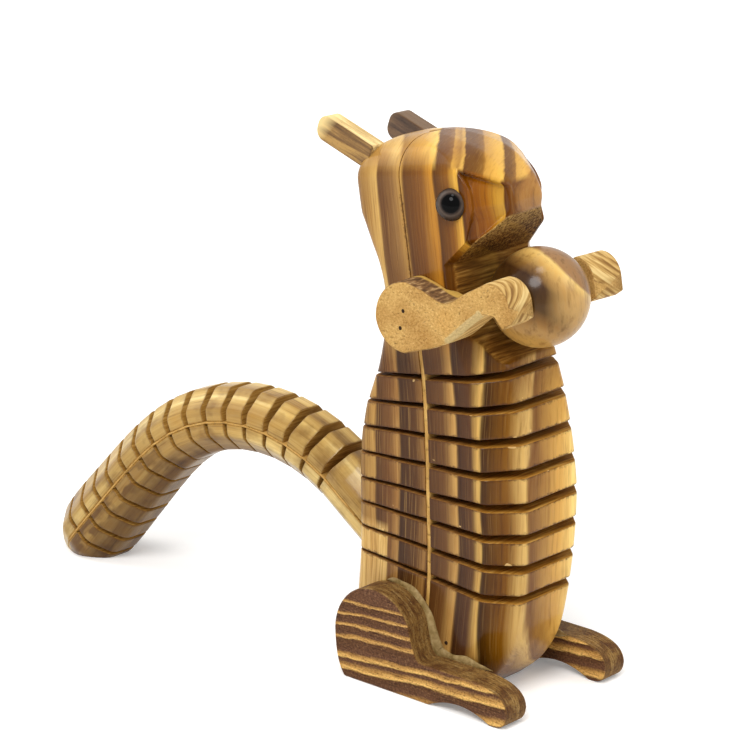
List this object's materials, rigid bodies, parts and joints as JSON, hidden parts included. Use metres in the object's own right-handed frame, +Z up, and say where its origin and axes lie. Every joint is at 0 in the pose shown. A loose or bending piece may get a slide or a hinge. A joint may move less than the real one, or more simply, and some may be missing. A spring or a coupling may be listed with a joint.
{
  "type": "jointed wooden squirrel toy",
  "caption": "Carved squirrel of striped varnished wood holding a ball, with a body and a tail sawn across into rings on a flexible strip so that both bend.",
  "frame": {"origin": "on the floor under the lowest saw cut of the body, on the flat sole of the base", "axes": "the squirrel faces -Y, +Z is up, its right side is -X"},
  "size_m": [0.0408, 0.1485, 0.115],
  "materials": {
    "striped_pine": "gloss varnish",
    "tail_wood": "gloss varnish",
    "bare_wood": "bare, sanded",
    "scorched_wood": "bare, scorched",
    "ball_wood": "gloss varnish",
    "strip_cloth": "matt",
    "eye_plastic": "gloss"
  },
  "bodies": {
    "base": {"base": "striped_pine", "right_leg": "scorched_wood", "left_leg": "scorched_wood", "tail_root": "tail_wood", "body_strip": "strip_cloth", "tail_strip": "strip_cloth"},
    "body_ring_1": {"body_ring_1_front": "striped_pine", "body_ring_1_back": "striped_pine"},
    "body_ring_2": {"body_ring_2_front": "striped_pine", "body_ring_2_back": "striped_pine"},
    "body_ring_3": {"body_ring_3_front": "striped_pine", "body_ring_3_back": "striped_pine"},
    "body_ring_4": {"body_ring_4_front": "striped_pine", "body_ring_4_back": "striped_pine"},
    "body_ring_5": {"body_ring_5_front": "striped_pine", "body_ring_5_back": "striped_pine"},
    "body_ring_6": {"body_ring_6_front": "striped_pine", "body_ring_6_back": "striped_pine"},
    "body_ring_7": {"body_ring_7_front": "striped_pine", "body_ring_7_back": "striped_pine"},
    "head": {"head_front": "striped_pine", "head_back": "striped_pine", "right_ear": "striped_pine", "left_ear": "striped_pine", "right_eye": "eye_plastic", "left_eye": "eye_plastic", "right_arm": "bare_wood", "left_arm": "bare_wood", "ball": "ball_wood"},
    "tail_ring_01": {"tail_ring_01_upper": "tail_wood", "tail_ring_01_lower": "tail_wood"},
    "tail_ring_02": {"tail_ring_02_upper": "tail_wood", "tail_ring_02_lower": "tail_wood"},
    "tail_ring_03": {"tail_ring_03_upper": "tail_wood", "tail_ring_03_lower": "tail_wood"},
    "tail_ring_04": {"tail_ring_04_upper": "tail_wood", "tail_ring_04_lower": "tail_wood"},
    "tail_ring_05": {"tail_ring_05_upper": "tail_wood", "tail_ring_05_lower": "tail_wood"},
    "tail_ring_06": {"tail_ring_06_upper": "tail_wood", "tail_ring_06_lower": "tail_wood"},
    "tail_ring_07": {"tail_ring_07_upper": "tail_wood", "tail_ring_07_lower": "tail_wood"},
    "tail_ring_08": {"tail_ring_08_upper": "tail_wood", "tail_ring_08_lower": "tail_wood"},
    "tail_ring_09": {"tail_ring_09_upper": "tail_wood", "tail_ring_09_lower": "tail_wood"},
    "tail_ring_10": {"tail_ring_10_upper": "tail_wood", "tail_ring_10_lower": "tail_wood"},
    "tail_ring_11": {"tail_ring_11_upper": "tail_wood", "tail_ring_11_lower": "tail_wood"},
    "tail_ring_12": {"tail_ring_12_upper": "tail_wood", "tail_ring_12_lower": "tail_wood"},
    "tail_ring_13": {"tail_ring_13_upper": "tail_wood", "tail_ring_13_lower": "tail_wood"},
    "tail_ring_14": {"tail_ring_14_upper": "tail_wood", "tail_ring_14_lower": "tail_wood"},
    "tail_ring_15": {"tail_ring_15_upper": "tail_wood", "tail_ring_15_lower": "tail_wood"},
    "tail_tip": {"tail_tip": "tail_wood"}
  },
  "joints": [
    {"name": "body_hinge_1", "type": "hinge", "parent": "base", "child": "body_ring_1", "pos_m": [0, 0, 0.0245], "axis": [1, 0, 0], "range_deg": [-1.17, 4.79], "stiffness_Nm_per_rad": 0.6, "deforming": ["body_strip"]},
    {"name": "body_hinge_2", "type": "hinge", "parent": "body_ring_1", "child": "body_ring_2", "pos_m": [0, -0.00038, 0.03049], "axis": [1, 0, 0], "range_deg": [-1.19, 4.74], "stiffness_Nm_per_rad": 0.6, "deforming": ["body_strip"]},
    {"name": "body_hinge_3", "type": "hinge", "parent": "body_ring_2", "child": "body_ring_3", "pos_m": [0, -0.00057, 0.03648], "axis": [1, 0, 0], "range_deg": [-1.22, 4.71], "stiffness_Nm_per_rad": 0.6, "deforming": ["body_strip"]},
    {"name": "body_hinge_4", "type": "hinge", "parent": "body_ring_3", "child": "body_ring_4", "pos_m": [0, -0.00056, 0.04249], "axis": [1, 0, 0], "range_deg": [-1.25, 4.73], "stiffness_Nm_per_rad": 0.6, "deforming": ["body_strip"]},
    {"name": "body_hinge_5", "type": "hinge", "parent": "body_ring_4", "child": "body_ring_5", "pos_m": [0, -0.00037, 0.04848], "axis": [1, 0, 0], "range_deg": [-1.29, 4.8], "stiffness_Nm_per_rad": 0.6, "deforming": ["body_strip"]},
    {"name": "body_hinge_6", "type": "hinge", "parent": "body_ring_5", "child": "body_ring_6", "pos_m": [0, 0.00003, 0.05447], "axis": [1, 0, 0], "range_deg": [-1.46, 4.91], "stiffness_Nm_per_rad": 0.6, "deforming": ["body_strip"]},
    {"name": "body_hinge_7", "type": "hinge", "parent": "body_ring_6", "child": "body_ring_7", "pos_m": [0, 0.00061, 0.06044], "axis": [1, 0, 0], "range_deg": [-1.82, 5.07], "stiffness_Nm_per_rad": 0.6, "deforming": ["body_strip"]},
    {"name": "body_hinge_8", "type": "hinge", "parent": "body_ring_7", "child": "head", "pos_m": [0, 0.00139, 0.06639], "axis": [1, 0, 0], "range_deg": [-2.57, 5.31], "stiffness_Nm_per_rad": 0.6, "deforming": ["body_strip"]},
    {"name": "tail_hinge_1", "type": "hinge", "parent": "base", "child": "tail_ring_01", "pos_m": [0, 0.03476, 0.03645], "axis": [1, 0, 0], "range_deg": [-0.86, 16.46], "stiffness_Nm_per_rad": 0.2, "deforming": ["tail_strip"]},
    {"name": "tail_hinge_2", "type": "hinge", "parent": "tail_ring_01", "child": "tail_ring_02", "pos_m": [0, 0.04009, 0.03919], "axis": [1, 0, 0], "range_deg": [-0.82, 16.42], "stiffness_Nm_per_rad": 0.2, "deforming": ["tail_strip"]},
    {"name": "tail_hinge_3", "type": "hinge", "parent": "tail_ring_02", "child": "tail_ring_03", "pos_m": [0, 0.04575, 0.04118], "axis": [1, 0, 0], "range_deg": [-0.78, 16.38], "stiffness_Nm_per_rad": 0.2, "deforming": ["tail_strip"]},
    {"name": "tail_hinge_4", "type": "hinge", "parent": "tail_ring_03", "child": "tail_ring_04", "pos_m": [0, 0.05163, 0.04239], "axis": [1, 0, 0], "range_deg": [-0.73, 16.33], "stiffness_Nm_per_rad": 0.2, "deforming": ["tail_strip"]},
    {"name": "tail_hinge_5", "type": "hinge", "parent": "tail_ring_04", "child": "tail_ring_05", "pos_m": [0, 0.05761, 0.04279], "axis": [1, 0, 0], "range_deg": [-0.67, 16.27], "stiffness_Nm_per_rad": 0.2, "deforming": ["tail_strip"]},
    {"name": "tail_hinge_6", "type": "hinge", "parent": "tail_ring_05", "child": "tail_ring_06", "pos_m": [0, 0.0636, 0.04237], "axis": [1, 0, 0], "range_deg": [-0.58, 16.18], "stiffness_Nm_per_rad": 0.2, "deforming": ["tail_strip"]},
    {"name": "tail_hinge_7", "type": "hinge", "parent": "tail_ring_06", "child": "tail_ring_07", "pos_m": [0, 0.06947, 0.04114], "axis": [1, 0, 0], "range_deg": [-0.47, 16.07], "stiffness_Nm_per_rad": 0.2, "deforming": ["tail_strip"]},
    {"name": "tail_hinge_8", "type": "hinge", "parent": "tail_ring_07", "child": "tail_ring_08", "pos_m": [0, 0.07513, 0.03913], "axis": [1, 0, 0], "range_deg": [-0.33, 15.93], "stiffness_Nm_per_rad": 0.2, "deforming": ["tail_strip"]},
    {"name": "tail_hinge_9", "type": "hinge", "parent": "tail_ring_08", "child": "tail_ring_09", "pos_m": [0, 0.08045, 0.03637], "axis": [1, 0, 0], "range_deg": [-0.13, 15.73], "stiffness_Nm_per_rad": 0.2, "deforming": ["tail_strip"]},
    {"name": "tail_hinge_10", "type": "hinge", "parent": "tail_ring_09", "child": "tail_ring_10", "pos_m": [0, 0.08536, 0.03291], "axis": [1, 0, 0], "range_deg": [-1.85, 13.55], "stiffness_Nm_per_rad": 0.2, "deforming": ["tail_strip"]},
    {"name": "tail_hinge_11", "type": "hinge", "parent": "tail_ring_10", "child": "tail_ring_11", "pos_m": [0, 0.08988, 0.02897], "axis": [1, 0, 0], "range_deg": [-3.57, 11.37], "stiffness_Nm_per_rad": 0.2, "deforming": ["tail_strip"]},
    {"name": "tail_hinge_12", "type": "hinge", "parent": "tail_ring_11", "child": "tail_ring_12", "pos_m": [0, 0.09413, 0.02473], "axis": [1, 0, 0], "range_deg": [-5.31, 9.21], "stiffness_Nm_per_rad": 0.2, "deforming": ["tail_strip"]},
    {"name": "tail_hinge_13", "type": "hinge", "parent": "tail_ring_12", "child": "tail_ring_13", "pos_m": [0, 0.09823, 0.02035], "axis": [1, 0, 0], "range_deg": [-7.1, 7.1], "stiffness_Nm_per_rad": 0.2, "deforming": ["tail_strip"]},
    {"name": "tail_hinge_14", "type": "hinge", "parent": "tail_ring_13", "child": "tail_ring_14", "pos_m": [0, 0.10233, 0.01597], "axis": [1, 0, 0], "range_deg": [-6.96, 6.96], "stiffness_Nm_per_rad": 0.2, "deforming": ["tail_strip"]},
    {"name": "tail_hinge_15", "type": "hinge", "parent": "tail_ring_14", "child": "tail_ring_15", "pos_m": [0, 0.10643, 0.01159], "axis": [1, 0, 0], "range_deg": [-6.66, 6.66], "stiffness_Nm_per_rad": 0.2, "deforming": ["tail_strip"]},
    {"name": "tail_hinge_16", "type": "hinge", "parent": "tail_ring_15", "child": "tail_tip", "pos_m": [0, 0.11053, 0.00721], "axis": [1, 0, 0], "range_deg": [-6.67, 6.67], "stiffness_Nm_per_rad": 0.2, "deforming": ["tail_strip"]}
  ]
}
